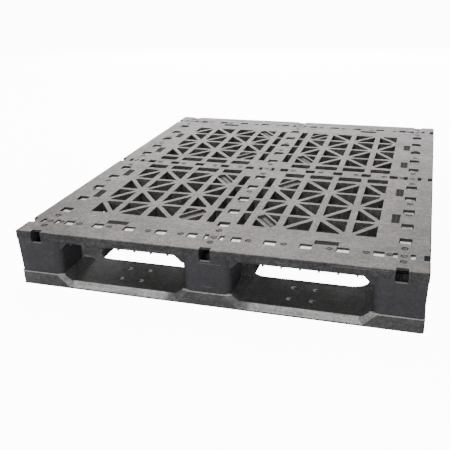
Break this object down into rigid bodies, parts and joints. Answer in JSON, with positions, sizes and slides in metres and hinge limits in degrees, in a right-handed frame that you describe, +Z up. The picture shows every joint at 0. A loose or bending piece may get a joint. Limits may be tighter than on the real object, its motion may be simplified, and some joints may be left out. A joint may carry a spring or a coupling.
{
  "type": "plastic pallet",
  "caption": "Rackable plastic pallet: open lattice deck on flared legs over a windowed base frame, for fork entry from every side.",
  "frame": {"origin": "on the floor under the middle of the deck", "axes": "+X across the narrow front to the right, +Y from the front to the rear, +Z up"},
  "size_m": [1.016, 1.219, 0.15],
  "materials": {
    "deck_plastic": "satin, brushed",
    "leg_plastic": "matte",
    "base_plastic": "matte",
    "grip_rubber": "matte",
    "bar_steel": "galvanised",
    "screw_steel": "zinc plated"
  },
  "bodies": {
    "root": {"top_deck": "deck_plastic", "base_frame": "base_plastic", "leg_front_left": "leg_plastic", "leg_front_middle": "leg_plastic", "leg_front_right": "leg_plastic", "leg_middle_left": "leg_plastic", "leg_middle_middle": "leg_plastic", "leg_middle_right": "leg_plastic", "leg_rear_left": "leg_plastic", "leg_rear_middle": "leg_plastic", "leg_rear_right": "leg_plastic", "bar_long_left": "bar_steel", "bar_long_middle": "bar_steel", "bar_long_right": "bar_steel", "bar_cross_front": "bar_steel", "bar_cross_rear": "bar_steel", "grip_strip_left_1": "grip_rubber", "grip_strip_left_2": "grip_rubber", "grip_strip_left_3": "grip_rubber", "grip_strip_left_4": "grip_rubber", "grip_strip_right_1": "grip_rubber", "grip_strip_right_2": "grip_rubber", "grip_strip_right_3": "grip_rubber", "grip_strip_right_4": "grip_rubber", "grip_strip_front_1": "grip_rubber", "grip_strip_front_2": "grip_rubber", "grip_strip_rear_1": "grip_rubber", "grip_strip_rear_2": "grip_rubber", "tie_screws": "screw_steel"}
  },
  "joints": []
}
